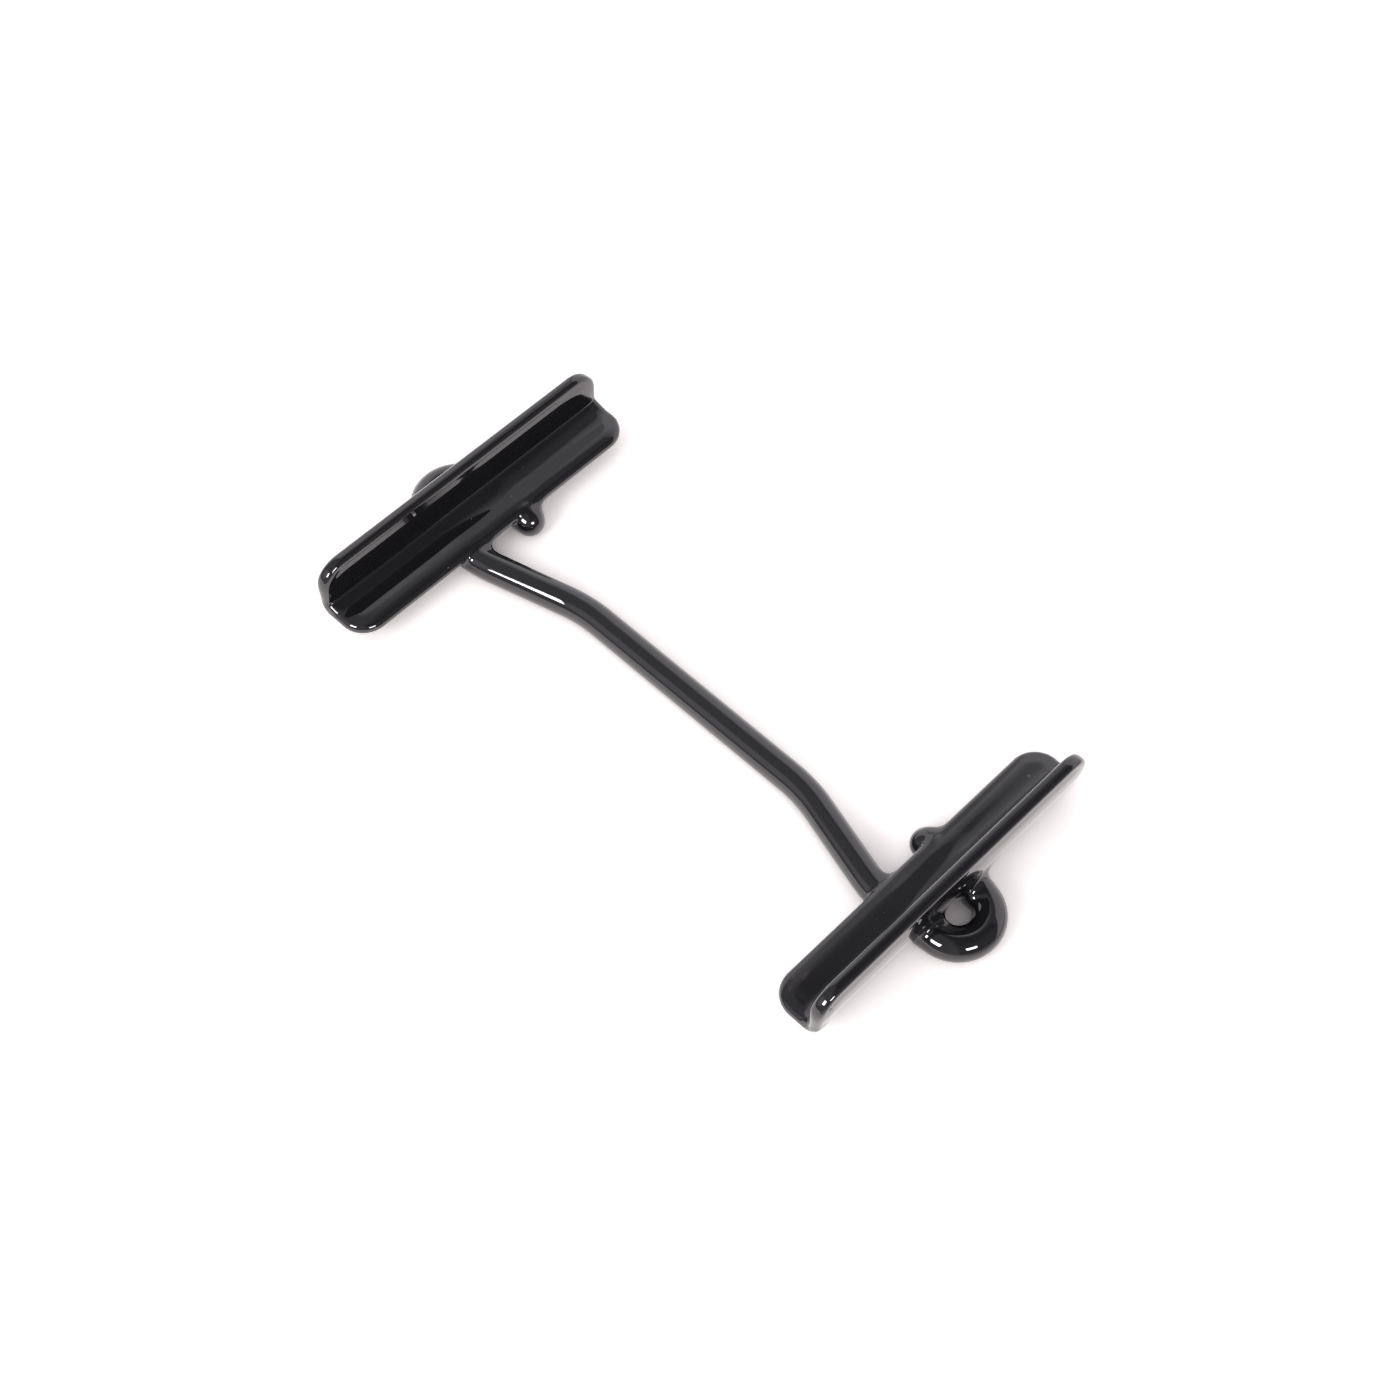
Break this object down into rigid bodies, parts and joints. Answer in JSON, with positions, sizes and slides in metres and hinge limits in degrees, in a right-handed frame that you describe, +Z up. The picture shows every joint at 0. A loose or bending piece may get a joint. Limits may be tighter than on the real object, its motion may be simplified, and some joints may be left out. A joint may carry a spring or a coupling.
{
  "type": "battery hold-down",
  "caption": "Bent round rod with a hairpin eye at each end and an angle jaw welded across it inside each eye, dipped in thick glossy black PVC, for clamping a battery.",
  "frame": {"origin": "on the ground, midway between the jaws and midway along them, with the rod lying flat and the jaws open upwards", "axes": "+X along the rod from eye to eye, +Y along the jaws towards the rod's free tails, +Z up, the way the jaws open"},
  "size_m": [0.2116, 0.1024, 0.0232],
  "materials": {
    "pvc_coat": "glossy dip-moulded PVC skin over steel"
  },
  "bodies": {
    "root": {"cross_rod": "pvc_coat", "right_jaw": "pvc_coat", "left_jaw": "pvc_coat", "right_tail_weld_inner": "pvc_coat", "right_tail_weld_outer": "pvc_coat", "right_leg_weld_inner": "pvc_coat", "right_leg_weld_outer": "pvc_coat", "left_tail_weld_inner": "pvc_coat", "left_tail_weld_outer": "pvc_coat", "left_leg_weld_inner": "pvc_coat", "left_leg_weld_outer": "pvc_coat"}
  },
  "joints": []
}
